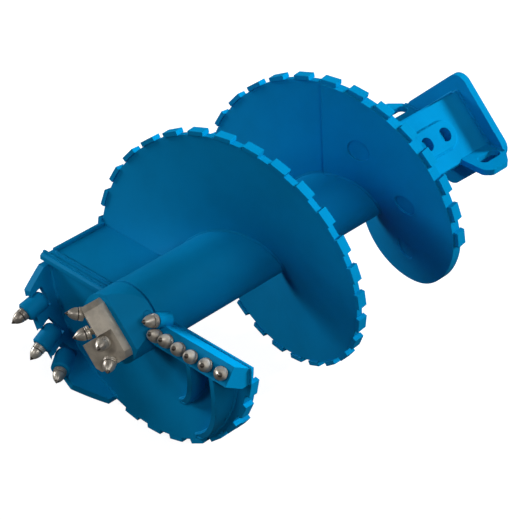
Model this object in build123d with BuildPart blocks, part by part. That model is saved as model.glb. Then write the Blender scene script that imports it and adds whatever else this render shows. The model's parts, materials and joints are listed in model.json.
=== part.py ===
"""Rock auger with a square drive box, one flight and round shank picks.

Millimetres. The drill axis lies along +X, from the drive end at X = 0 to the
cutting end. +Y runs out along the row of seven picks, +Z is up as the tool
lies on its rim. An angle about the axis is measured from +Y towards +Z.
"""
import math
import os

from build123d import *

os.makedirs("parts", exist_ok=True)

# Drive end
socket_side = 202.0
wall = 31.0
face_width = 252.0
cap_side = 300.0
cap_thickness = 16.0
collar_side = 382.0
collar_thickness = 32.0
collar_corner = 55.0
box_length = 375.0
end_plate_thickness = 20.0

# Two drive pins, side by side along the axis
pin_bore = 58.0
pin_pitch = 106.0
pin_from_collar = 185.0
boss_width = 115.0
boss_thickness = 12.0

# Lifting lugs on the corners of the box
lug_thickness = 25.0
lug_out = 315.0
lug_length = 168.0
lug_corner = 28.0
lug_slot_length = 112.0
lug_slot_width = 46.0
lug_slot_out = 238.0

# Centre tube, and the weld groove at its end
tube_od = 273.0
tube_wall = 25.0
tube_beyond_base = 50.0
groove_depth = 10.0
groove_width = 10.0

# Flight: the front face of the plate reaches the base plate at 360 degrees
flight_length = 1320.0
flight_od = 1026.0
flight_pitch = 554.0
flight_thickness = 28.0
front_end_angle = 352.0
tail_start_angle = -360.0
tail_end_angle = -474.0
doubler_thickness = 15.0
doubler_start_angle = -266.0
plug_diameter = 92.0
plug_depth = 7.0
plug_radius = 300.0
plug_angles = (-294.0, -346.0, -398.0)

# Wear strips along the rim
strip_length = 66.0
strip_width = 40.0
strip_thickness = 17.0
strip_step = 12.86
strip_fit = 0.02
first_strip_angle = 323.0
first_base_strip_angle = -9.0

# Pocket at the cutting end: base plate, side panel and gauge wall
base_thickness = 28.0
panel_thickness = 25.0
panel_inset = 13.0
edge_bar_width = 12.0
edge_bar_rise = 8.0
panel_slit = 9.0
lip_width = 24.0
lip_depth = 22.0
wall_thickness = 32.0
wall_height = 114.0
wall_shoulder = 30.0

# Seven-pick bar: a square bar that leans forward on the base plate
bar_top = 16.0
bar_depth = 88.0
bar_face = 78.5
bar_lean = 31.0
bar_overhang = 11.0
bar_end_taper = 7.0
boss_margin = 3.0
boss_length = 30.0
inner_boss_length = 60.0
gusset_thickness = 20.0

# Round shank picks: a running fit in the bore, free to turn
shank = 25.0
shank_length = 46.0
running_clearance = 0.05
bore_depth = 52.0
seat_gap = 0.4
collar_od = 50.0
spot_face_clearance = 1.0
braze_height = 54.0
pick_reach = 65.0
holder_od = 76.0
holder_length = 96.0
holder_slot_gap = 8.0
knockout = 14.0

# Pilot
adapter_length = 103.0
adapter_front_half = 80.0
adapter_plug_diameter = 34.0
adapter_plug_depth = 5.0
adapter_plug_ahead = 22.0
adapter_plug_along = 24.0
pilot_half_length = 115.0
pilot_half_thickness = 55.0
pilot_reach = 98.0
pilot_end_chamfer = 23.0
pilot_side_chamfer = 11.0

tube_r = tube_od / 2
rim_r = flight_od / 2
outer_r = rim_r + strip_thickness
panel_radius = rim_r - panel_inset
collar_back = cap_thickness + collar_thickness
box_end = collar_back + box_length
tube_start = box_end + end_plate_thickness
base_front = tube_start + flight_length
base_back = base_front - base_thickness
tube_end_x = base_front + tube_beyond_base
adapter_x = tube_end_x + groove_width
pilot_back = adapter_x + adapter_length
box_half = socket_side / 2 + wall


def across(x):
    """Working plane square to the drill axis: local x is +Y, local y is +Z."""
    return Plane(origin=(x, 0, 0), x_dir=(0, 1, 0), z_dir=(1, 0, 0))


def front_x(angle):
    """Where the front face of the flight stands at an angle about the axis."""
    return base_front - flight_pitch * (360 - angle) / 360


def around(x, radius, angle):
    """Point at a radius and an angle about the drill axis."""
    a = math.radians(angle)
    return Vector(x, radius * math.cos(a), radius * math.sin(a))


def flat(radius, angle):
    """The same point in the local axes of a plane square to the drill axis."""
    a = math.radians(angle)
    return (radius * math.cos(a), radius * math.sin(a))


def save(piece, label):
    piece.part.label = label
    export_step(piece.part, f"parts/{label}.step")


# Drive end: cap plate and collar, both open for the Kelly bar
for label, x, side, thickness, corner in (
    ("drive_cap", 0.0, cap_side, cap_thickness, 12.0),
    ("drive_collar", cap_thickness, collar_side, collar_thickness, collar_corner),
):
    with BuildPart() as plate:
        with BuildSketch(across(x)):
            with Locations(Rotation(0, 0, 45)):
                RectangleRounded(side, side, corner)
                Rectangle(socket_side, socket_side, mode=Mode.SUBTRACT)
        extrude(amount=thickness)
    save(plate, label)

# Four walls of the drive box. Two carry the pins, two stand between them.
pin_x = [collar_back + pin_from_collar, collar_back + pin_from_collar + pin_pitch]
for label, angle, width, has_pins in (
    ("box_wall_pin_upper", 45.0, face_width, True),
    ("box_wall_pin_lower", 225.0, face_width, True),
    ("box_wall_side_right", -45.0, socket_side, False),
    ("box_wall_side_left", 135.0, socket_side, False),
):
    face = Plane(
        origin=around((collar_back + box_end) / 2, socket_side / 2, angle),
        x_dir=(1, 0, 0),
        z_dir=around(0, 1, angle),
    )
    with BuildPart() as side_wall:
        with BuildSketch(face):
            Rectangle(box_length, width)
            if has_pins:
                with Locations(*[(x - (collar_back + box_end) / 2, 0) for x in pin_x]):
                    Circle(pin_bore / 2, mode=Mode.SUBTRACT)
        extrude(amount=wall)
    save(side_wall, label)

# Obround bosses that stiffen the pin bores
for label, angle in (("pin_boss_upper", 45.0), ("pin_boss_lower", 225.0)):
    face = Plane(
        origin=around(sum(pin_x) / 2, box_half, angle),
        x_dir=(1, 0, 0),
        z_dir=around(0, 1, angle),
    )
    with BuildPart() as boss:
        with BuildSketch(face):
            SlotCenterToCenter(pin_pitch, boss_width)
            with Locations((-pin_pitch / 2, 0), (pin_pitch / 2, 0)):
                Circle(pin_bore / 2, mode=Mode.SUBTRACT)
        extrude(amount=boss_thickness)
        fillet(boss.faces().sort_by(Axis((0, 0, 0), around(0, 1, angle)))[-1].outer_wire().edges(), 3)
    save(boss, label)

# Lifting lugs, one on each side corner of the box, hung under the collar
for label, side in (("lift_lug_right", 1), ("lift_lug_left", -1)):
    with BuildPart() as lug:
        with BuildSketch(Plane(origin=(collar_back, 0, 0), x_dir=(1, 0, 0), z_dir=(0, 0, 1))):
            with BuildLine():
                FilletPolyline(
                    (0, side * box_half),
                    (0, side * (lug_out - 50)),
                    (50, side * lug_out),
                    (lug_length - 28, side * lug_out),
                    (lug_length, side * (lug_out - 28)),
                    (lug_length, side * box_half),
                    radius=lug_corner,
                    close=True,
                )
            make_face()
            with Locations((74, side * lug_slot_out)):
                SlotOverall(lug_slot_length, lug_slot_width, mode=Mode.SUBTRACT)
        extrude(amount=lug_thickness / 2, both=True)
        with BuildSketch(across(0)):
            with Locations(Rotation(0, 0, 45)):
                Rectangle(2 * box_half, face_width)
                Rectangle(socket_side, 2 * box_half)
        extrude(amount=tube_start, mode=Mode.SUBTRACT)
    save(lug, label)

# Plate that closes the box and carries the tube
with BuildPart() as end_plate:
    with BuildSketch(across(box_end)):
        with Locations(Rotation(0, 0, 45)):
            RectangleRounded(2 * box_half, 2 * box_half, 10)
    extrude(amount=end_plate_thickness)
save(end_plate, "box_end_plate")

with BuildPart() as tube:
    with BuildSketch(across(tube_start)):
        Circle(tube_r)
        Circle(tube_r - tube_wall, mode=Mode.SUBTRACT)
    extrude(amount=tube_end_x - tube_start)
save(tube, "centre_tube")

# Weld groove between the tube and the pilot adapter
with BuildPart() as ring:
    with BuildSketch(across(tube_end_x)):
        Circle(tube_r - groove_depth)
        Circle(tube_r - tube_wall, mode=Mode.SUBTRACT)
    extrude(amount=groove_width)
save(ring, "tube_end_ring")


def flight_solid(start, stop, front_offset, thickness, outer=rim_r):
    """Helical plate from one angle to another, its front face ahead by an offset."""
    turns = (stop - start) / 360
    x = front_x(start) + front_offset
    spine = Helix(
        pitch=flight_pitch,
        height=flight_pitch * turns,
        radius=tube_r,
        center=(x, 0, 0),
        direction=(1, 0, 0),
    )
    first = spine @ 0
    lead = math.degrees(math.atan2(first.Z, first.Y))
    spine = spine.rotate(Axis.X, start - lead)
    section = Plane(origin=around(x, 0, start), x_dir=around(0, 1, start), z_dir=around(0, 1, start + 90))
    axial = section.y_dir.X
    with BuildPart() as solid:
        with BuildSketch(section):
            with Locations(((tube_r + outer) / 2, -axial * thickness / 2)):
                Rectangle(outer - tube_r, thickness)
        sweep(path=spine, is_frenet=True)
    return solid.part


# Flight in four pieces. The last one sweeps in to the tube behind the pin box.
for label, start, stop in (
    ("flight_front", 180.0, front_end_angle),
    ("flight_middle", -90.0, 180.0),
    ("flight_rear", tail_start_angle, -90.0),
):
    with BuildPart() as flight:
        add(flight_solid(start, stop, 0.0, flight_thickness))
        if label == "flight_front":
            with BuildSketch(across(base_back)):
                Circle(outer_r)
            extrude(amount=2 * flight_thickness, mode=Mode.SUBTRACT)
    save(flight, label)
    if label == "flight_front":
        flight_front = flight.part
    if label == "flight_middle":
        flight_middle = flight.part

# Rounded tail of the rear turn: the rim closes in on the tube as it goes back
tail_curve = [
    flat(rim_r - drop, tail_start_angle - turn)
    for turn, drop in ((0, 0), (18, 14), (42, 58), (61, 130), (83, 211), (114, 298))
]
with BuildPart() as tail_blank:
    with BuildSketch(across(0)):
        with BuildLine():
            outline = Spline(*tail_curve)
            Line(outline @ 1, (0, 0))
            Line((0, 0), outline @ 0)
        make_face()
    extrude(amount=front_x(tail_start_angle) + flight_thickness)

with BuildPart() as tail:
    add(flight_solid(tail_end_angle, tail_start_angle, 0.0, flight_thickness))
    add(tail_blank.part, mode=Mode.INTERSECT)
save(tail, "flight_tail")

# Doubler on the front of the rear turn, with three plug weld pockets
with BuildPart() as doubler_blank:
    add(tail_blank.part)
    with BuildSketch(across(0)):
        with BuildLine():
            CenterArc((0, 0), rim_r, doubler_start_angle, tail_start_angle - doubler_start_angle)
            Line(flat(rim_r, tail_start_angle), (0, 0))
            Line((0, 0), flat(rim_r, doubler_start_angle))
        make_face()
    extrude(amount=front_x(doubler_start_angle) + flight_thickness)

with BuildPart() as doubler:
    add(flight_solid(tail_end_angle, doubler_start_angle, doubler_thickness, doubler_thickness))
    add(doubler_blank.part, mode=Mode.INTERSECT)
    for angle in plug_angles:
        rise = Vector(1, 0, 0) - around(0, flight_pitch / (2 * math.pi * plug_radius), angle + 90)
        face = Plane(origin=around(front_x(angle) + doubler_thickness, plug_radius, angle), z_dir=rise)
        with BuildSketch(face.offset(-plug_depth)):
            Circle(plug_diameter / 2)
        extrude(amount=3 * plug_depth, mode=Mode.SUBTRACT)
save(doubler, "rear_doubler")

# Wear strips: flat bars laid along the helix on the rim, then along the base rim
helix_slope = math.atan(flight_pitch / (math.pi * flight_od))
strip_bed = 10.0


def strips(label, first, count, base=False):
    slope = 0.0 if base else helix_slope
    with BuildPart() as row:
        for i in range(count):
            a = first - i * strip_step
            x = base_front - strip_width / 2 if base else front_x(a) - flight_thickness / 2
            along = around(0, math.cos(slope), a + 90) + Vector(math.sin(slope), 0, 0)
            seat = Plane(
                origin=around(x, rim_r - strip_bed, a),
                x_dir=along,
                z_dir=around(0, 1, a),
            )
            with Locations(seat.location):
                Box(
                    strip_length,
                    strip_width,
                    strip_bed + strip_thickness,
                    align=(Align.CENTER, Align.CENTER, Align.MIN),
                )
        with BuildSketch(across(0)):
            Circle(rim_r + strip_fit)
        extrude(amount=base_front + strip_width, mode=Mode.SUBTRACT)
    save(row, label)


strips("wear_strips_front", first_strip_angle, 12)
strips("wear_strips_middle", first_strip_angle - 12 * strip_step, 21)
strips("wear_strips_rear", first_strip_angle - 33 * strip_step, 21)
strips("wear_strips_base", first_base_strip_angle, 8, base=True)

# Base plate: a half disc that closes the front of the pocket
with BuildPart() as base:
    with BuildSketch(across(base_back)):
        Circle(rim_r)
        Rectangle(2 * rim_r, rim_r, align=(Align.CENTER, Align.MIN), mode=Mode.SUBTRACT)
        Circle(tube_r, mode=Mode.SUBTRACT)
    extrude(amount=base_thickness)
save(base, "base_plate")

# Side panel from the flight up to the base plate, with a slit near its edge
panel_length = base_back - front_x(180) + flight_thickness / 4
with BuildPart() as panel:
    with BuildSketch(Plane(origin=(0, 0, -panel_thickness), x_dir=(1, 0, 0), z_dir=(0, 0, 1))):
        with Locations((base_back, 0)):
            Rectangle(
                panel_length,
                panel_radius,
                align=(Align.MAX, Align.MAX),
            )
    extrude(amount=panel_thickness)
    with BuildSketch(Plane(origin=(0, 0, -panel_slit), x_dir=(1, 0, 0), z_dir=(0, 0, 1))):
        with Locations((base_back, -panel_radius)):
            Rectangle(
                panel_length,
                panel_slit,
                align=(Align.MAX, Align.MIN),
            )
    extrude(amount=panel_slit, mode=Mode.SUBTRACT)
    add(flight_front, mode=Mode.SUBTRACT)
    with BuildSketch(across(0)):
        Circle(tube_r)
    extrude(amount=base_front, mode=Mode.SUBTRACT)
save(panel, "side_panel")

with BuildPart() as edge_bar:
    with BuildSketch(Plane(origin=(0, 0, -panel_thickness), x_dir=(1, 0, 0), z_dir=(0, 0, 1))):
        with Locations((base_back, -panel_radius)):
            Rectangle(
                panel_length,
                edge_bar_width,
                align=(Align.MAX, Align.MAX),
            )
    extrude(amount=panel_thickness + edge_bar_rise)
    add(flight_front, mode=Mode.SUBTRACT)
    add(flight_middle, mode=Mode.SUBTRACT)
save(edge_bar, "panel_edge_bar")

# Lip along the top edge of the base plate
with BuildPart() as lip:
    with BuildSketch(across(base_front)):
        Rectangle(outer_r - 3, lip_width, align=(Align.MAX, Align.MAX))
        Circle(tube_r, mode=Mode.SUBTRACT)
    extrude(amount=lip_depth)
    chamfer(lip.edges().filter_by(Axis.Y).group_by(Axis.X)[-1].group_by(Axis.Z)[-1], 8)
save(lip, "base_lip")


def pick_frame(tip, lean):
    """Seat of a pick: the point under its collar, with local z out along the pick."""
    out = lean.normalized()
    return Plane(origin=tip - out * pick_reach, z_dir=out)


# One round shank pick, standing on its seat and pointing along +Z
collar_r = collar_od / 2
carbide_r = 8.5
with BuildPart() as pick:
    with BuildSketch(Plane.XZ):
        with BuildLine():
            body = Polyline(
                (0, -shank_length),
                (shank / 2 - 2, -shank_length),
                (shank / 2, 2 - shank_length),
                (shank / 2, seat_gap),
                (collar_r - 1.5, seat_gap),
                (collar_r, 2.0),
                (collar_r, 8.5),
                (collar_r - 1.5, 9.5),
                (collar_r - 0.5, 11.0),
                (collar_r - 0.5, 16.5),
                (collar_r - 4.5, 17.5),
                (collar_r - 4.5, 20.0),
                (collar_r - 1.5, 21.5),
            )
            nose = ThreePointArc(body @ 1, (collar_r - 6.0, 39.0), (carbide_r + 0.5, braze_height))
            Polyline(
                nose @ 1,
                (carbide_r, braze_height + 0.5),
                (1.5, pick_reach - 0.8),
                (0, pick_reach),
                (0, -shank_length),
            )
        make_face()
    revolve(axis=Axis.Z)

# Bore for a pick: a running fit for the shank, and a spot face for its collar
with BuildPart() as bore:
    with Locations((0, 0, -bore_depth)):
        Cylinder(
            shank / 2 + running_clearance,
            bore_depth,
            align=(Align.CENTER, Align.CENTER, Align.MIN),
        )
    Cylinder(
        collar_r + spot_face_clearance,
        pick_reach,
        align=(Align.CENTER, Align.CENTER, Align.MIN),
    )

# Section of the bar: its top and foot, and how far the face runs down between them
bar_direction = math.radians(bar_lean)
bar_normal = Vector(math.cos(bar_direction), 0, math.sin(bar_direction))
bar_down = Vector(math.sin(bar_direction), 0, -math.cos(bar_direction))
bar_back_top = Vector(base_front, 0, bar_top)
bar_face_top = bar_back_top + bar_normal * bar_depth
bar_face_foot = bar_face_top + bar_down * bar_face
bar_back_foot = bar_face_foot - bar_normal * bar_depth

# Five seats in a row on the face: share of the row, distance down, direction
row_start = tube_r + 82.5
row_end = rim_r - 35.0
pick_frames = {}
for number, share, down, lean in (
    (3, 0.0, 42.0, (0.780, 0.152, 0.607)),
    (4, 0.232, 45.0, (0.750, 0.250, 0.610)),
    (5, 0.463, 46.0, (0.742, 0.281, 0.609)),
    (6, 0.730, 44.0, (0.736, 0.381, 0.560)),
    (7, 1.0, 42.0, (0.656, 0.560, 0.506)),
):
    place = row_start + (row_end - row_start) * share
    seat = bar_face_top + bar_down * down + Vector(0, place, 0)
    pick_frames[f"bar_pick_{number}"] = Plane(origin=seat, z_dir=Vector(*lean).normalized())

# Two seats beside the tube: ahead of the base plate, off the tube, height, direction
for number, ahead, off, height, lean in (
    (1, 87.0, 14.5, 74.0, (0.930, -0.100, 0.340)),
    (2, 97.0, 29.5, 20.0, (0.770, 0.120, 0.630)),
):
    seat = Vector(base_front + ahead, tube_r + off, height)
    pick_frames[f"bar_pick_{number}"] = Plane(origin=seat, z_dir=Vector(*lean).normalized())

# Gauge picks: tip ahead of the base plate, out from the rim and round it, direction
for number, ahead, overhang, angle, lean in (
    (1, 205.0, 3.0, 202.6, (0.945, -0.09, -0.31)),
    (2, 192.0, 4.5, 219.2, (0.880, 0.06, -0.47)),
    (3, 179.0, -47.4, 233.1, (0.822, 0.538, -0.187)),
):
    tip = around(base_front + ahead, outer_r + overhang, angle)
    pick_frames[f"gauge_pick_{number}"] = pick_frame(tip, Vector(*lean))

# Pilot picks: tip ahead, along and across the block, direction; the other pair mirrors
along_pilot = Vector(0, 1, -1).normalized()
across_pilot = Vector(0, 1, 1).normalized()
for number, ahead, along, wide, lean in (
    (1, 122.0, 39.0, 50.5, (0.894, 0.172, 0.413)),
    (2, 116.0, 128.0, 20.0, (0.778, 0.537, 0.313)),
):
    for name, sign in ((f"pilot_pick_{number}a", 1), (f"pilot_pick_{number}b", -1)):
        tip = Vector(pilot_back + ahead, 0, 0) + (along_pilot * along + across_pilot * wide) * sign
        out = Vector(lean[0], 0, 0) + (along_pilot * lean[1] + across_pilot * lean[2]) * sign
        pick_frames[name] = pick_frame(tip, out)

for label, frame in pick_frames.items():
    with BuildPart() as placed:
        with Locations(frame.location):
            add(pick.part)
    save(placed, label)

# Bar with the seven picks
with BuildPart() as bar:
    with BuildSketch(Plane.XZ) as bar_section:
        with BuildLine():
            Polyline(
                (base_front, bar_top),
                (bar_face_top.X, bar_face_top.Z),
                (bar_face_foot.X, bar_face_foot.Z),
                (bar_back_foot.X, bar_back_foot.Z),
                (base_front, bar_back_foot.Z),
                close=True,
            )
        make_face()
    extrude(amount=-(rim_r + bar_overhang))
    with BuildSketch(Plane.XY.offset(bar_face_top.Z)):
        with BuildLine():
            Polyline(
                (base_front, rim_r + bar_overhang),
                (bar_face_foot.X, rim_r + bar_overhang - bar_end_taper),
                (bar_face_foot.X, rim_r + bar_overhang),
                close=True,
            )
        make_face()
    extrude(amount=-2 * bar_face, mode=Mode.SUBTRACT)
    inner_corner = bar_face_top + Vector(0, tube_r + 67.5, 0)
    split(bisect_by=Plane(origin=inner_corner, z_dir=(0.75, -0.31, 0.585)), keep=Keep.BOTTOM)
    for label, frame in pick_frames.items():
        if label.startswith("bar"):
            length = inner_boss_length if label == "bar_pick_1" else boss_length
            with Locations(frame.location):
                Cylinder(collar_r + boss_margin, length, align=(Align.CENTER, Align.CENTER, Align.MAX))
    with BuildSketch(across(0)):
        Circle(tube_r)
    extrude(amount=pilot_back, mode=Mode.SUBTRACT)
    for label, frame in pick_frames.items():
        if label.startswith("bar"):
            with Locations(frame.location):
                add(bore.part, mode=Mode.SUBTRACT)
save(bar, "pick_bar")

# Gauge wall round the foot of the pocket: each end leans in from its own foot
wall_inner = outer_r - wall_thickness
wall_ends = ((184.7, 192.0), (251.0, 237.4))
wall_foot_angle = wall_ends[0][0]
wall_sweep = wall_ends[1][0] - wall_ends[0][0]
with BuildPart() as gauge_wall:
    with BuildSketch(across(base_back)):
        with BuildLine():
            outside = CenterArc((0, 0), outer_r, wall_foot_angle, wall_sweep)
            inside = CenterArc((0, 0), wall_inner, wall_foot_angle, wall_sweep)
            Line(inside @ 0, outside @ 0)
            Line(inside @ 1, outside @ 1)
        make_face()
    extrude(amount=base_thickness + wall_height)
    with BuildSketch(across(base_back)):
        Circle(rim_r)
    extrude(amount=base_thickness, mode=Mode.SUBTRACT)
    for foot_angle, top_angle in wall_ends:
        foot = around(base_front + wall_shoulder, outer_r, foot_angle)
        top = around(base_front + wall_height, outer_r, top_angle)
        beyond = around(0, 1, foot_angle + (90 if foot_angle > top_angle else -90))
        slant = (top - foot).cross(around(0, 1, (foot_angle + top_angle) / 2)).normalized()
        if slant.dot(beyond) < 0:
            slant = slant * -1
        split(bisect_by=Plane(origin=foot, z_dir=slant), keep=Keep.BOTTOM)

    # Slots for the holders: each seats against one end, with a gap at the other
    for label, frame in pick_frames.items():
        if label.startswith("gauge"):
            outward = Vector(0, frame.origin.Y, frame.origin.Z).normalized()
            slot = Plane(origin=frame.origin, x_dir=frame.z_dir.cross(outward) * -1, z_dir=frame.z_dir)
            with BuildSketch(slot.offset(-holder_length - holder_slot_gap)):
                with Locations((holder_slot_gap / 2, 0)):
                    SlotCenterToCenter(holder_slot_gap, holder_od)
            extrude(amount=holder_length + wall_height, mode=Mode.SUBTRACT)
save(gauge_wall, "gauge_wall")

for label, frame in pick_frames.items():
    if label.startswith("gauge"):
        with BuildPart() as holder:
            with Locations(frame.location):
                with Locations((0, 0, -holder_length)):
                    Cylinder(
                        holder_od / 2,
                        holder_length,
                        align=(Align.CENTER, Align.CENTER, Align.MIN),
                    )
            ends = holder.faces().sort_by(Axis(frame.origin, frame.z_dir))
            fillet(ends[0].edges(), holder_od / 2 - 12)
            chamfer(ends[-1].edges(), 5)
            with Locations(frame.location):
                add(bore.part, mode=Mode.SUBTRACT)
                with Locations((0, 0, -holder_length)):
                    Cylinder(
                        knockout / 2,
                        holder_length,
                        align=(Align.CENTER, Align.CENTER, Align.MIN),
                        mode=Mode.SUBTRACT,
                    )
        save(holder, "gauge_holder_" + label[-1])

# Curved gussets under the bar: each wall runs from its head, by a middle, to its
# foot, given as an angle and how far inside the rim it stands
for label, head, middle, toe in (
    ("bar_gusset_inner", (-2.0, 176.0), (-36.0, 167.0), (-59.5, 152.0)),
    ("bar_gusset_outer", (-1.0, 66.0), (-32.0, 36.0), (-58.5, 11.0)),
):
    with BuildPart() as gusset:
        with BuildSketch(across(base_front)):
            with BuildLine():
                sides = []
                for half in (-gusset_thickness / 2, gusset_thickness / 2):
                    points = [flat(rim_r - inset + half, angle) for angle, inset in (head, middle, toe)]
                    sides.append(ThreePointArc(*points))
                Line(sides[0] @ 0, sides[1] @ 0)
                Line(sides[0] @ 1, sides[1] @ 1)
            make_face()
        extrude(amount=bar_face_foot.X - base_front)
        toe_z = flat(rim_r - toe[1], toe[0])[1]
        with BuildSketch(Plane.XZ):
            with BuildLine():
                brow = ThreePointArc(
                    (base_front, toe_z),
                    (base_front + 75, toe_z * 0.54),
                    (bar_face_foot.X, bar_face_foot.Z),
                )
                Polyline(
                    brow @ 1,
                    (bar_back_foot.X, bar_back_foot.Z),
                    (base_front, bar_back_foot.Z),
                    brow @ 0,
                )
            make_face()
        extrude(amount=-outer_r, mode=Mode.INTERSECT)
    save(gusset, label)

# Pilot adapter: a stub of the tube, cut to a wedge on two sides
wedge_plane = Plane(origin=(0, 0, 0), x_dir=(1, 0, 0), z_dir=(0, -1, 1))
with BuildPart() as adapter:
    with BuildSketch(across(adapter_x)):
        Circle(tube_r)
    extrude(amount=adapter_length)
    with BuildSketch(wedge_plane):
        with BuildLine():
            Polyline(
                (adapter_x, -tube_r),
                (adapter_x + adapter_length, -adapter_front_half),
                (adapter_x + adapter_length, adapter_front_half),
                (adapter_x, tube_r),
                close=True,
            )
        make_face()
    extrude(amount=tube_r, both=True, mode=Mode.INTERSECT)
    wedge_run = tube_r - adapter_front_half
    plug_wide = tube_r - wedge_run * adapter_plug_ahead / adapter_length
    plug_place = along_pilot * adapter_plug_along + across_pilot * plug_wide
    wedge_face = Plane(
        origin=plug_place + Vector(adapter_x + adapter_plug_ahead, 0, 0),
        z_dir=across_pilot * adapter_length + Vector(wedge_run, 0, 0),
    )
    with BuildSketch(wedge_face.offset(-adapter_plug_depth)):
        Circle(adapter_plug_diameter / 2)
    extrude(amount=3 * adapter_plug_depth, mode=Mode.SUBTRACT)
save(adapter, "pilot_adapter")

# Pilot block: its two halves slope forward on opposite sides, under the picks
pilot_step = 2 * pilot_half_thickness * math.tan(bar_direction)
with BuildPart() as pilot:
    for side in (1, -1):
        with BuildSketch(wedge_plane):
            with BuildLine():
                Polyline(
                    (pilot_back, -side * pilot_half_thickness),
                    (pilot_back + pilot_reach, -side * pilot_half_thickness),
                    (pilot_back + pilot_reach - pilot_step, side * pilot_half_thickness),
                    (pilot_back, side * pilot_half_thickness),
                    close=True,
                )
            make_face()
        extrude(amount=-side * pilot_half_length)
    for side in (1, -1):
        end_face = pilot.faces().sort_by(Axis((0, 0, 0), along_pilot * side))[-1]
        long_edges = end_face.edges().filter_by(Axis.X)
        chamfer(long_edges, pilot_side_chamfer, pilot_end_chamfer, reference=end_face)
    for label, frame in pick_frames.items():
        if label.startswith("pilot"):
            with Locations(frame.location):
                add(bore.part, mode=Mode.SUBTRACT)
save(pilot, "pilot_block")
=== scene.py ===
import json
import math

import bpy
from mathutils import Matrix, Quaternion, Vector, noise


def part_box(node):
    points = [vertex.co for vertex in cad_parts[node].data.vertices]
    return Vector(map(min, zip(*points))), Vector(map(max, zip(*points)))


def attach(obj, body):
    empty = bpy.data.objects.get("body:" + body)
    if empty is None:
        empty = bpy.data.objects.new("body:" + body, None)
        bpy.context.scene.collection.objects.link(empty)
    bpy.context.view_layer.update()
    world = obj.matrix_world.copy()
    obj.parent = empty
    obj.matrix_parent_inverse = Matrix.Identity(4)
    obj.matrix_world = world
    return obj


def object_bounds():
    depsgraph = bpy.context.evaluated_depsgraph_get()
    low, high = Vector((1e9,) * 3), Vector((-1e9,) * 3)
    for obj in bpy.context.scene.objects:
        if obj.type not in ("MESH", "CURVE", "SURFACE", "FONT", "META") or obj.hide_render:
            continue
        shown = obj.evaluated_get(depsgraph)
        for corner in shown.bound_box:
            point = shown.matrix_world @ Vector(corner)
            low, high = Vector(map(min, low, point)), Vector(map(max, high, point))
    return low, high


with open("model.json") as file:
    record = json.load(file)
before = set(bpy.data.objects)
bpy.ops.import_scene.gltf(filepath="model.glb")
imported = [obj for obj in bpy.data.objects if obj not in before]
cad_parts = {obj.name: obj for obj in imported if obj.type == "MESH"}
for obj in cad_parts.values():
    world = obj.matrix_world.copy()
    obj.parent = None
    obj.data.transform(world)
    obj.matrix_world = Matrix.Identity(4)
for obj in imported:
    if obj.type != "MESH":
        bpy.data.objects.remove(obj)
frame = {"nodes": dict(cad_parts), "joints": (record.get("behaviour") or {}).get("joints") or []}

cad_box = [list(corner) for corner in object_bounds()]

# Blue paint
# Every plate of the tool is steel, sprayed with one dull blue enamel after
# welding. The film is a little uneven, and thinner where an edge is sharp.
paint_blue = (0.0, 0.245, 0.53)
paint_deep = (0.0, 0.222, 0.48)
paint_thin = (0.002, 0.29, 0.62)
paint_sheen = 0.05
paint_least_roughness = 0.50
edge_radius = 0.0022


def new_group(name, inputs, outputs):
    """Shader node group with named sockets, and its input and output nodes."""
    group = bpy.data.node_groups.new(name, "ShaderNodeTree")
    for label, kind, value in inputs:
        socket = group.interface.new_socket(label, in_out="INPUT", socket_type=kind)
        socket.default_value = value
    for label, kind in outputs:
        group.interface.new_socket(label, in_out="OUTPUT", socket_type=kind)
    start = group.nodes.new("NodeGroupInput")
    end = group.nodes.new("NodeGroupOutput")
    return group, start, end


def math_node(tree, operation, first, second=None, clamp=False):
    """Math node whose two inputs are sockets or plain numbers."""
    node = tree.nodes.new("ShaderNodeMath")
    node.operation = operation
    node.use_clamp = clamp
    for socket, value in zip(node.inputs, (first, second)):
        if isinstance(value, bpy.types.NodeSocket):
            tree.links.new(value, socket)
        elif value is not None:
            socket.default_value = value
    return node.outputs[0]


def noise_node(tree, scale, detail, roughness=0.5, vector=None):
    """Noise in the object's own metres, so that it rides with the piece."""
    node = tree.nodes.new("ShaderNodeTexNoise")
    node.inputs["Detail"].default_value = detail
    node.inputs["Roughness"].default_value = roughness
    if isinstance(scale, bpy.types.NodeSocket):
        tree.links.new(scale, node.inputs["Scale"])
    else:
        node.inputs["Scale"].default_value = scale
    if vector is None:
        vector = tree.nodes.new("ShaderNodeTexCoord").outputs["Object"]
    tree.links.new(vector, node.inputs["Vector"])
    return node.outputs["Fac"]


def ramp_node(tree, value, low, high):
    """0 below low, 1 above high, smooth between."""
    node = tree.nodes.new("ShaderNodeMapRange")
    node.interpolation_type = "SMOOTHSTEP"
    tree.links.new(value, node.inputs["Value"])
    node.inputs["From Min"].default_value = low
    node.inputs["From Max"].default_value = high
    return node.outputs["Result"]


def mix_colour(tree, share, first, second):
    """Colour mix whose parts are sockets or plain colours."""
    node = tree.nodes.new("ShaderNodeMix")
    node.data_type = "RGBA"
    tree.links.new(share, node.inputs["Factor"])
    for socket, value in ((node.inputs["A"], first), (node.inputs["B"], second)):
        socket = [s for s in node.inputs if s.name == socket.name and s.type == "RGBA"][0]
        if isinstance(value, bpy.types.NodeSocket):
            tree.links.new(value, socket)
        else:
            socket.default_value = (*value, 1.0)
    return [s for s in node.outputs if s.type == "RGBA"][0]


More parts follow.
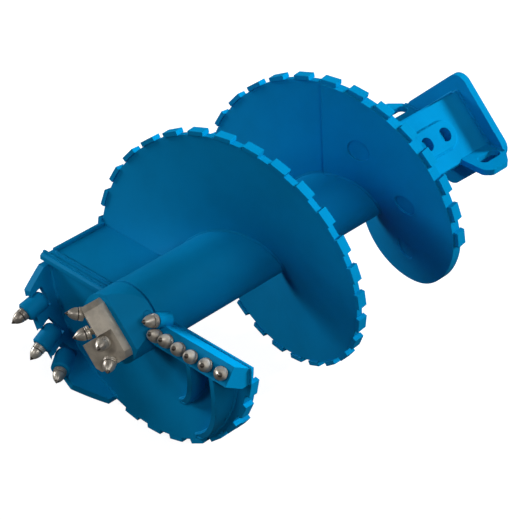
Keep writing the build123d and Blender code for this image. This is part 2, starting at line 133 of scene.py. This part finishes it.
# Worn edges: how far the rounded normal leaves the flat one, broken by noise
edge_wear, start, end = new_group(
    "Edge wear",
    [("Width", "NodeSocketFloat", 0.004), ("Amount", "NodeSocketFloat", 0.6)],
    [("Edge", "NodeSocketFloat"), ("Round normal", "NodeSocketVector")],
)
wide = edge_wear.nodes.new("ShaderNodeBevel")
wide.samples = 6
edge_wear.links.new(start.outputs["Width"], wide.inputs["Radius"])
face = edge_wear.nodes.new("ShaderNodeNewGeometry")
dot = edge_wear.nodes.new("ShaderNodeVectorMath")
dot.operation = "DOT_PRODUCT"
edge_wear.links.new(wide.outputs[0], dot.inputs[0])
edge_wear.links.new(face.outputs["Normal"], dot.inputs[1])
bend = math_node(edge_wear, "SUBTRACT", 1.0, dot.outputs["Value"])
patches = ramp_node(edge_wear, noise_node(edge_wear, 38.0, 4.0, 0.65), 0.38, 0.68)
worn = math_node(edge_wear, "MULTIPLY", ramp_node(edge_wear, bend, 0.01, 0.12), patches)
amount = math_node(edge_wear, "MULTIPLY", worn, start.outputs["Amount"], clamp=True)
edge_wear.links.new(amount, end.inputs["Edge"])
fine = edge_wear.nodes.new("ShaderNodeBevel")
fine.samples = 6
fine.inputs["Radius"].default_value = edge_radius
edge_wear.links.new(fine.outputs[0], end.inputs["Round normal"])

# Sprayed film: wide cloudy shade, scuffs in the gloss, orange peel
sprayed, start, end = new_group(
    "Sprayed film",
    [("Colour", "NodeSocketColor", (*paint_blue, 1.0)), ("Deep", "NodeSocketColor", (*paint_deep, 1.0))],
    [("Colour", "NodeSocketColor"), ("Roughness", "NodeSocketFloat"), ("Height", "NodeSocketFloat")],
)
cloud = ramp_node(sprayed, noise_node(sprayed, 5.0, 5.0, 0.6), 0.35, 0.70)
clouded = mix_colour(sprayed, cloud, start.outputs["Colour"], start.outputs["Deep"])
sprayed.links.new(clouded, end.inputs["Colour"])
scuff = noise_node(sprayed, 60.0, 4.0, 0.7)
gloss = math_node(sprayed, "MULTIPLY_ADD", scuff, 0.16)
gloss.node.inputs[2].default_value = paint_least_roughness
sprayed.links.new(gloss, end.inputs["Roughness"])
peel = noise_node(sprayed, 420.0, 2.0, 0.5)
ripple = noise_node(sprayed, 45.0, 2.0, 0.5)
mixed = math_node(sprayed, "ADD", math_node(sprayed, "MULTIPLY", peel, 0.45), ripple)
sprayed.links.new(mixed, end.inputs["Height"])


def painted(name, colour=paint_blue, deep=paint_deep, wear=0.55):
    """Dull enamel on steel plate, thin along its edges."""
    material = bpy.data.materials.new(name)
    material.use_nodes = True
    tree = material.node_tree
    shader = tree.nodes["Principled BSDF"]
    film = tree.nodes.new("ShaderNodeGroup")
    film.node_tree = sprayed
    film.inputs["Colour"].default_value = (*colour, 1.0)
    film.inputs["Deep"].default_value = (*deep, 1.0)
    edge = tree.nodes.new("ShaderNodeGroup")
    edge.node_tree = edge_wear
    edge.inputs["Amount"].default_value = wear
    colour_out = mix_colour(tree, edge.outputs["Edge"], film.outputs["Colour"], paint_thin)
    tree.links.new(colour_out, shader.inputs["Base Color"])
    tree.links.new(film.outputs["Roughness"], shader.inputs["Roughness"])
    bump = tree.nodes.new("ShaderNodeBump")
    bump.inputs["Strength"].default_value = 0.12
    bump.inputs["Distance"].default_value = 0.0012
    tree.links.new(film.outputs["Height"], bump.inputs["Height"])
    tree.links.new(edge.outputs["Round normal"], bump.inputs["Normal"])
    tree.links.new(bump.outputs["Normal"], shader.inputs["Normal"])
    shader.inputs["Specular IOR Level"].default_value = paint_sheen
    return material


def finish_node(node, material):
    """Put a material on every slot of a CAD node."""
    for held in frame["nodes"][node].material_slots:
        held.material = material


plate_paint = painted("Blue enamel")
strip_paint = painted("Blue enamel on strips", wear=0.8)
for node in frame["nodes"]:
    if node.startswith("wear_strips"):
        finish_node(node, strip_paint)
    elif "_pick_" not in node and node != "pilot_block":
        finish_node(node, plate_paint)

# Weld beads
# Every plate is held by a painted fillet weld. A bead runs round the outline in
# which one piece stands on another, and up both sides of the flight on the tube.
bead_size = 0.0065
bead_step = 0.005
bead_sides = 8
bead_swell = 0.16
bead_end = 0.45
ripple_pitch = 0.0042
ripple_depth = 2.2
flat_tolerance = 2e-5


def outline_on(node, point, normal):
    """Closed loops of points in which a CAD node's flat face lies in a plane."""
    held = frame["nodes"][node]
    places = [held.matrix_world @ vertex.co for vertex in held.data.vertices]
    names = [tuple(round(value, 5) for value in place) for place in places]
    count = {}
    for polygon in held.data.polygons:
        if all(abs((places[i] - point).dot(normal)) < flat_tolerance for i in polygon.vertices):
            corners = [names[i] for i in polygon.vertices]
            for first, second in zip(corners, corners[1:] + corners[:1]):
                key = tuple(sorted((first, second)))
                count[key] = count.get(key, 0) + 1
    beside = {}
    for first, second in (key for key, times in count.items() if times == 1):
        beside.setdefault(first, []).append(second)
        beside.setdefault(second, []).append(first)
    loops = []
    while beside:
        here = next(iter(beside))
        loop = [here]
        while beside.get(here):
            there = beside[here].pop()
            beside[there].remove(here)
            if not beside[here]:
                del beside[here]
            here = there
            loop.append(here)
        beside.pop(here, None)
        loops.append([Vector(place) for place in loop])
    return loops


def even_steps(points, step):
    """The same run of points with none farther apart than a step."""
    run = [points[0]]
    for first, second in zip(points, points[1:]):
        parts = max(1, math.ceil((second - first).length / step))
        run += [first.lerp(second, i / parts) for i in range(1, parts + 1)]
    return run


def bead(points, side_of, size=bead_size):
    """Rings, faces and lengths of one bead; side_of gives a normal at a point."""
    rings = []
    lengths = [0.0]
    closed = (points[0] - points[-1]).length < 1e-4
    for i, place in enumerate(points):
        before = points[i - 1] if i else (points[-2] if closed else place)
        after = points[i + 1] if i + 1 < len(points) else (points[1] if closed else place)
        along = (after - before).normalized()
        normal = side_of(place)
        across = along.cross(normal).normalized()
        swell = size * (1.0 + bead_swell * noise.noise(place * 38.0))
        if not closed and i in (0, len(points) - 1):
            swell *= bead_end
        rings.append([
            place + (normal * math.cos(turn) + across * math.sin(turn)) * swell
            for turn in (2 * math.pi * k / bead_sides for k in range(bead_sides))
        ])
        if i:
            lengths.append(lengths[-1] + (place - points[i - 1]).length)
    return rings, lengths


def bead_piece(name, runs, material):
    """One mesh of many beads, its UV running along each bead in metres."""
    vertices = []
    faces = []
    coordinates = []
    for rings, lengths in runs:
        base = len(vertices)
        vertices += [corner for ring in rings for corner in ring]
        for i in range(len(rings) - 1):
            for k in range(bead_sides):
                after = (k + 1) % bead_sides
                low = base + i * bead_sides
                high = low + bead_sides
                faces.append((low + k, low + after, high + after, high + k))
                v_low = k / bead_sides
                v_high = (k + 1) / bead_sides
                coordinates += [(lengths[i], v_low), (lengths[i], v_high)]
                coordinates += [(lengths[i + 1], v_high), (lengths[i + 1], v_low)]
    mesh = bpy.data.meshes.new(name)
    mesh.from_pydata(vertices, [], faces)
    layer = mesh.uv_layers.new(name="Along the bead")
    for loop, place in zip(layer.data, coordinates):
        loop.uv = place
    mesh.polygons.foreach_set("use_smooth", [True] * len(faces))
    mesh.materials.append(material)
    piece = bpy.data.objects.new(name, mesh)
    bpy.context.scene.collection.objects.link(piece)
    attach(piece, "auger")
    return piece


# Ripples of the bead: crescents that follow one another along its length
ripples, start, end = new_group(
    "Weld ripples",
    [("Pitch", "NodeSocketFloat", ripple_pitch)],
    [("Height", "NodeSocketFloat")],
)
along_bead = ripples.nodes.new("ShaderNodeSeparateXYZ")
ripples.links.new(ripples.nodes.new("ShaderNodeTexCoord").outputs["UV"], along_bead.inputs[0])
round_bead = math_node(ripples, "SINE", math_node(ripples, "MULTIPLY", along_bead.outputs["Y"], 4 * math.pi))
drift = math_node(ripples, "MULTIPLY", noise_node(ripples, 90.0, 2.0), 1.4)
beat = math_node(ripples, "DIVIDE", along_bead.outputs["X"], start.outputs["Pitch"])
bowed = math_node(ripples, "MULTIPLY", round_bead, 0.35)
phase = math_node(ripples, "ADD", math_node(ripples, "ADD", beat, drift), bowed)
crescent = math_node(ripples, "FRACT", phase)
ripples.links.new(math_node(ripples, "POWER", crescent, 1.6), end.inputs["Height"])


def rippled(material):
    """Add the ripples to a material's bump height."""
    tree = material.node_tree
    bump = tree.nodes["Bump"]
    wave = tree.nodes.new("ShaderNodeGroup")
    wave.node_tree = ripples
    skin = bump.inputs["Height"].links[0].from_socket
    both = math_node(tree, "MULTIPLY_ADD", wave.outputs["Height"], ripple_depth)
    tree.links.new(skin, both.node.inputs[2])
    tree.links.new(both, bump.inputs["Height"])
    bump.inputs["Strength"].default_value = 0.5
    return material


drill_axis = Vector((1.0, 0.0, 0.0))
tube_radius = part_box("centre_tube")[1][1]
base_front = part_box("base_plate")[1][0]
base_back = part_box("base_plate")[0][0]
collar_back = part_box("drive_collar")[1][0]
boss_foot = Vector((0.0, 1.0, 1.0)).normalized()

weld_runs = []
for node, x in (
    ("drive_cap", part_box("drive_cap")[1][0]),
    ("box_wall_pin_upper", collar_back),
    ("box_wall_pin_lower", collar_back),
    ("box_wall_side_right", collar_back),
    ("box_wall_side_left", collar_back),
    ("lift_lug_right", collar_back),
    ("lift_lug_left", collar_back),
    ("box_wall_pin_upper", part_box("box_end_plate")[0][0]),
    ("box_wall_pin_lower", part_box("box_end_plate")[0][0]),
    ("box_wall_side_right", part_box("box_end_plate")[0][0]),
    ("box_wall_side_left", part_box("box_end_plate")[0][0]),
    ("centre_tube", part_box("box_end_plate")[1][0]),
    ("pick_bar", base_front),
    ("bar_gusset_inner", base_front),
    ("bar_gusset_outer", base_front),
    ("base_lip", base_front),
    ("gauge_wall", base_front),
    ("side_panel", base_back),
):
    for loop in outline_on(node, Vector((x, 0.0, 0.0)), drill_axis):
        weld_runs.append(bead(even_steps(loop, bead_step), lambda place: drill_axis))

# Obround bosses stand on the two pin walls; the smaller loops are their holes
smallest_boss_loop = 0.07
for node, side in (("pin_boss_upper", 1.0), ("pin_boss_lower", -1.0)):
    facing = boss_foot * side
    held = frame["nodes"][node]
    corners = [held.matrix_world @ vertex.co for vertex in held.data.vertices]
    foot = min(corners, key=lambda place: place.dot(facing))
    for loop in outline_on(node, foot, facing):
        if max((place - loop[0]).length for place in loop) > smallest_boss_loop:
            weld_runs.append(bead(even_steps(loop, bead_step), lambda place: facing))

# The flight runs up the tube: both faces of its plate, and the doubler on the rear
flight_pitch = 0.554
flight_start = -474.0
doubler_end = -266.0
flight_end = 341.0
steps_per_pitch = 1.9
plate_thickness = base_front - base_back
doubler_thickness = 0.015


def up_the_tube(first, last, ahead):
    """Points on the tube along the helix, its front face moved ahead."""
    steps = math.ceil(abs(last - first) / 360 * flight_pitch * steps_per_pitch / bead_step)
    run = []
    for i in range(steps + 1):
        angle = first + (last - first) * i / steps
        x = base_front - flight_pitch * (360 - angle) / 360 + ahead
        turn = math.radians(angle)
        run.append(Vector((x, tube_radius * math.cos(turn), tube_radius * math.sin(turn))))
    return run


for first, last, ahead in (
    (doubler_end, flight_end, 0.0),
    (flight_start, doubler_end, doubler_thickness),
    (flight_start, flight_end, -plate_thickness),
):
    run = up_the_tube(first, last, ahead)
    weld_runs.append(bead(run, lambda place: Vector((0.0, place.y, place.z)).normalized()))

bead_paint = rippled(painted("Blue enamel on welds", wear=0.2))
bead_piece("Weld_beads", weld_runs, bead_paint)

# Pilot block
# One forged block, left bare. Its skin is dull grey brown scale, in clouds,
# rubbed bright on the corners by handling.
scale_light = (0.58, 0.515, 0.42)
scale_dark = (0.37, 0.325, 0.265)
scale_rubbed = (0.68, 0.63, 0.54)
block_metal = 0.35
steel_least_roughness = 0.22

forged, start, end = new_group(
    "Forged skin",
    [("Light", "NodeSocketColor", (*scale_light, 1.0)), ("Dark", "NodeSocketColor", (*scale_dark, 1.0))],
    [("Colour", "NodeSocketColor"), ("Roughness", "NodeSocketFloat"), ("Height", "NodeSocketFloat")],
)
cloud = ramp_node(forged, noise_node(forged, 14.0, 6.0, 0.62), 0.36, 0.66)
clouded = mix_colour(forged, cloud, start.outputs["Light"], start.outputs["Dark"])
forged.links.new(clouded, end.inputs["Colour"])
grain = noise_node(forged, 260.0, 4.0, 0.7)
rough = math_node(forged, "MULTIPLY_ADD", grain, 0.3)
rough.node.inputs[2].default_value = steel_least_roughness
forged.links.new(rough, end.inputs["Roughness"])
pits = math_node(forged, "ADD", grain, noise_node(forged, 70.0, 3.0, 0.5))
forged.links.new(pits, end.inputs["Height"])


def bare_steel(name, metallic, light, dark, rubbed, bump_strength):
    """Bare forged or turned steel with scale, rubbed bright on its edges; gives its parts too."""
    material = bpy.data.materials.new(name)
    material.use_nodes = True
    tree = material.node_tree
    shader = tree.nodes["Principled BSDF"]
    skin = tree.nodes.new("ShaderNodeGroup")
    skin.node_tree = forged
    skin.inputs["Light"].default_value = (*light, 1.0)
    skin.inputs["Dark"].default_value = (*dark, 1.0)
    edge = tree.nodes.new("ShaderNodeGroup")
    edge.node_tree = edge_wear
    edge.inputs["Amount"].default_value = 0.7
    colour = mix_colour(tree, edge.outputs["Edge"], skin.outputs["Colour"], rubbed)
    tree.links.new(colour, shader.inputs["Base Color"])
    tree.links.new(skin.outputs["Roughness"], shader.inputs["Roughness"])
    bump = tree.nodes.new("ShaderNodeBump")
    bump.inputs["Strength"].default_value = bump_strength
    bump.inputs["Distance"].default_value = 0.0012
    tree.links.new(skin.outputs["Height"], bump.inputs["Height"])
    tree.links.new(edge.outputs["Round normal"], bump.inputs["Normal"])
    tree.links.new(bump.outputs["Normal"], shader.inputs["Normal"])
    shader.inputs["Metallic"].default_value = metallic
    return material, tree, shader, colour


block_steel = bare_steel("Forged block", block_metal, scale_light, scale_dark, scale_rubbed, 0.35)[0]
finish_node("pilot_block", block_steel)

# Round shank picks
# Each pick is turned from alloy steel and hardened, with a carbide tip brazed
# into its nose. Above its collar runs a groove, coloured darker as painted shade.
pick_light = (0.68, 0.63, 0.54)
pick_dark = (0.34, 0.30, 0.255)
pick_rubbed = (0.76, 0.71, 0.63)
carbide = (0.10, 0.085, 0.07)
braze_height = 0.0545
# Painted shade: the dark colour put in the groove above the collar
pick_groove_painted_shade = (0.10, 0.09, 0.08)
groove_low = 0.0170
groove_high = 0.0205
zone_blend = 0.0004
groove_blend = 0.001
pick_metal = 0.55
pick_sheen = 0.8

pick_zones, start, end = new_group(
    "Pick zones",
    [
        ("Seat", "NodeSocketVector", (0.0, 0.0, 0.0)),
        ("Axis", "NodeSocketVector", (0.0, 0.0, 1.0)),
        ("Braze height", "NodeSocketFloat", braze_height),
    ],
    [("Tip", "NodeSocketFloat"), ("Painted shade", "NodeSocketFloat")],
)
place = pick_zones.nodes.new("ShaderNodeTexCoord").outputs["Object"]
offset = pick_zones.nodes.new("ShaderNodeVectorMath")
offset.operation = "SUBTRACT"
pick_zones.links.new(place, offset.inputs[0])
pick_zones.links.new(start.outputs["Seat"], offset.inputs[1])
along = pick_zones.nodes.new("ShaderNodeVectorMath")
along.operation = "DOT_PRODUCT"
pick_zones.links.new(offset.outputs[0], along.inputs[0])
pick_zones.links.new(start.outputs["Axis"], along.inputs[1])
height = along.outputs["Value"]
past = math_node(pick_zones, "SUBTRACT", height, start.outputs["Braze height"])
pick_zones.links.new(ramp_node(pick_zones, past, -zone_blend, zone_blend), end.inputs["Tip"])
# Painted shade mask: the band of the groove above the collar
above_low = ramp_node(pick_zones, height, groove_low, groove_low + groove_blend)
above_high = ramp_node(pick_zones, height, groove_high, groove_high + groove_blend)
below_high = math_node(pick_zones, "SUBTRACT", 1.0, above_high)
groove_painted_shade_mask = math_node(pick_zones, "MULTIPLY", above_low, below_high)
pick_zones.links.new(groove_painted_shade_mask, end.inputs["Painted shade"])

for joint in frame["joints"]:
    node = joint["name"].removesuffix("_turn")
    material, tree, shader, colour = bare_steel(
        "Turned steel " + node, pick_metal, pick_light, pick_dark, pick_rubbed, 0.15
    )
    zones = tree.nodes.new("ShaderNodeGroup")
    zones.node_tree = pick_zones
    zones.inputs["Seat"].default_value = joint["pos_m"]
    zones.inputs["Axis"].default_value = joint["axis"]
    # Painted shade darkens the band of the groove
    painted_groove_shade_colour = mix_colour(tree, zones.outputs["Painted shade"], colour, pick_groove_painted_shade)
    tipped = mix_colour(tree, zones.outputs["Tip"], painted_groove_shade_colour, carbide)
    tree.links.new(tipped, shader.inputs["Base Color"])
    shader.inputs["Specular IOR Level"].default_value = pick_sheen
    finish_node(node, material)

# Studio
# A pale floor under the rim of the flight, a strong low light from the drive end,
# four weak ones, and a camera at the angle of the photo.
floor_height = cad_box[0][2]
floor_half = 9.0
floor_seen = 0.30
floor_glow = 0.90
floor_lit = 0.06
sky_low = 0.02
sky_rise = 0.03
mesh = bpy.data.meshes.new("Studio floor")
mesh.from_pydata(
    [(-floor_half, -floor_half, floor_height), (floor_half, -floor_half, floor_height),
     (floor_half, floor_half, floor_height), (-floor_half, floor_half, floor_height)],
    [],
    [(0, 1, 2, 3)],
)
floor = bpy.data.objects.new("Studio_floor", mesh)
bpy.context.scene.collection.objects.link(floor)
floor_paint = bpy.data.materials.new("Pale floor")
floor_paint.use_nodes = True
tree = floor_paint.node_tree
tree.nodes.remove(tree.nodes["Principled BSDF"])
path = tree.nodes.new("ShaderNodeLightPath")
seen = path.outputs["Is Camera Ray"]
pale = tree.nodes.new("ShaderNodeBsdfDiffuse")
pale.inputs["Color"].default_value = (floor_seen, floor_seen, floor_seen, 1.0)
glow = tree.nodes.new("ShaderNodeEmission")
glow.inputs["Strength"].default_value = floor_glow
both = tree.nodes.new("ShaderNodeAddShader")
tree.links.new(pale.outputs[0], both.inputs[0])
tree.links.new(glow.outputs[0], both.inputs[1])
dim = tree.nodes.new("ShaderNodeBsdfDiffuse")
dim.inputs["Color"].default_value = (floor_lit, floor_lit, floor_lit, 1.0)
choice = tree.nodes.new("ShaderNodeMixShader")
tree.links.new(seen, choice.inputs[0])
tree.links.new(dim.outputs[0], choice.inputs[1])
tree.links.new(both.outputs[0], choice.inputs[2])
tree.links.new(choice.outputs[0], tree.nodes["Material Output"].inputs["Surface"])
mesh.materials.append(floor_paint)

world = bpy.data.worlds.new("Studio")
bpy.context.scene.world = world
world.use_nodes = True
tree = world.node_tree
sky = tree.nodes["Background"]
direction = tree.nodes.new("ShaderNodeTexCoord").outputs["Generated"]
parts = tree.nodes.new("ShaderNodeSeparateXYZ")
tree.links.new(direction, parts.inputs[0])
up = ramp_node(tree, parts.outputs["Z"], -0.25, 1.0)
dome = math_node(tree, "MULTIPLY_ADD", up, sky_rise)
dome.node.inputs[2].default_value = sky_low
tree.links.new(dome, sky.inputs["Strength"])
white = tree.nodes.new("ShaderNodeBackground")
path = tree.nodes.new("ShaderNodeLightPath")
seen = math_node(tree, "MAXIMUM", path.outputs["Is Camera Ray"], path.outputs["Is Transmission Ray"])
choice = tree.nodes.new("ShaderNodeMixShader")
tree.links.new(seen, choice.inputs[0])
tree.links.new(sky.outputs[0], choice.inputs[1])
tree.links.new(white.outputs[0], choice.inputs[2])
tree.links.new(choice.outputs[0], tree.nodes["World Output"].inputs["Surface"])
sky.inputs["Color"].default_value = (1.0, 1.0, 1.0, 1.0)
white.inputs["Color"].default_value = (1.0, 1.0, 1.0, 1.0)

# Each lamp: name, direction towards it, strength, spread in degrees, seen in gloss
for name, towards, strength, spread, in_gloss in (
    ("Back light", (-0.87, 0.33, 0.37), 5.9, 12.0, False),
    ("High light", (-0.24, 0.66, 0.71), 0.50, 30.0, True),
    ("Right light", (0.37, 0.74, 0.56), 0.60, 14.0, True),
    ("Front light", (0.82, -0.10, 0.56), 0.50, 14.0, True),
    ("Low light", (0.30, -0.92, 0.26), 1.90, 20.0, True),
):
    lamp = bpy.data.lights.new(name, "SUN")
    lamp.energy = strength
    lamp.angle = math.radians(spread)
    holder = bpy.data.objects.new(name, lamp)
    holder.rotation_euler = Vector(towards).to_track_quat("Z", "Y").to_euler()
    holder.visible_glossy = in_gloss
    bpy.context.scene.collection.objects.link(holder)

camera_place = Vector((6.2768, 4.8412, 4.7616))
camera_towards = Vector((-0.59809, -0.56670, -0.56670))
camera_roll = math.radians(0.4625)
camera_lens = 159.08
camera_far = 60.0
camera = bpy.data.cameras.new("Camera")
camera.sensor_width = 36.0
camera.lens = camera_lens
camera.clip_end = camera_far
holder = bpy.data.objects.new("Camera", camera)
holder.location = camera_place
level = camera_towards.to_track_quat("-Z", "Y")
holder.rotation_euler = (level @ Quaternion((0.0, 0.0, 1.0), camera_roll)).to_euler()
bpy.context.scene.collection.objects.link(holder)
bpy.context.scene.camera = holder

bpy.context.scene.view_settings.view_transform = "Standard"
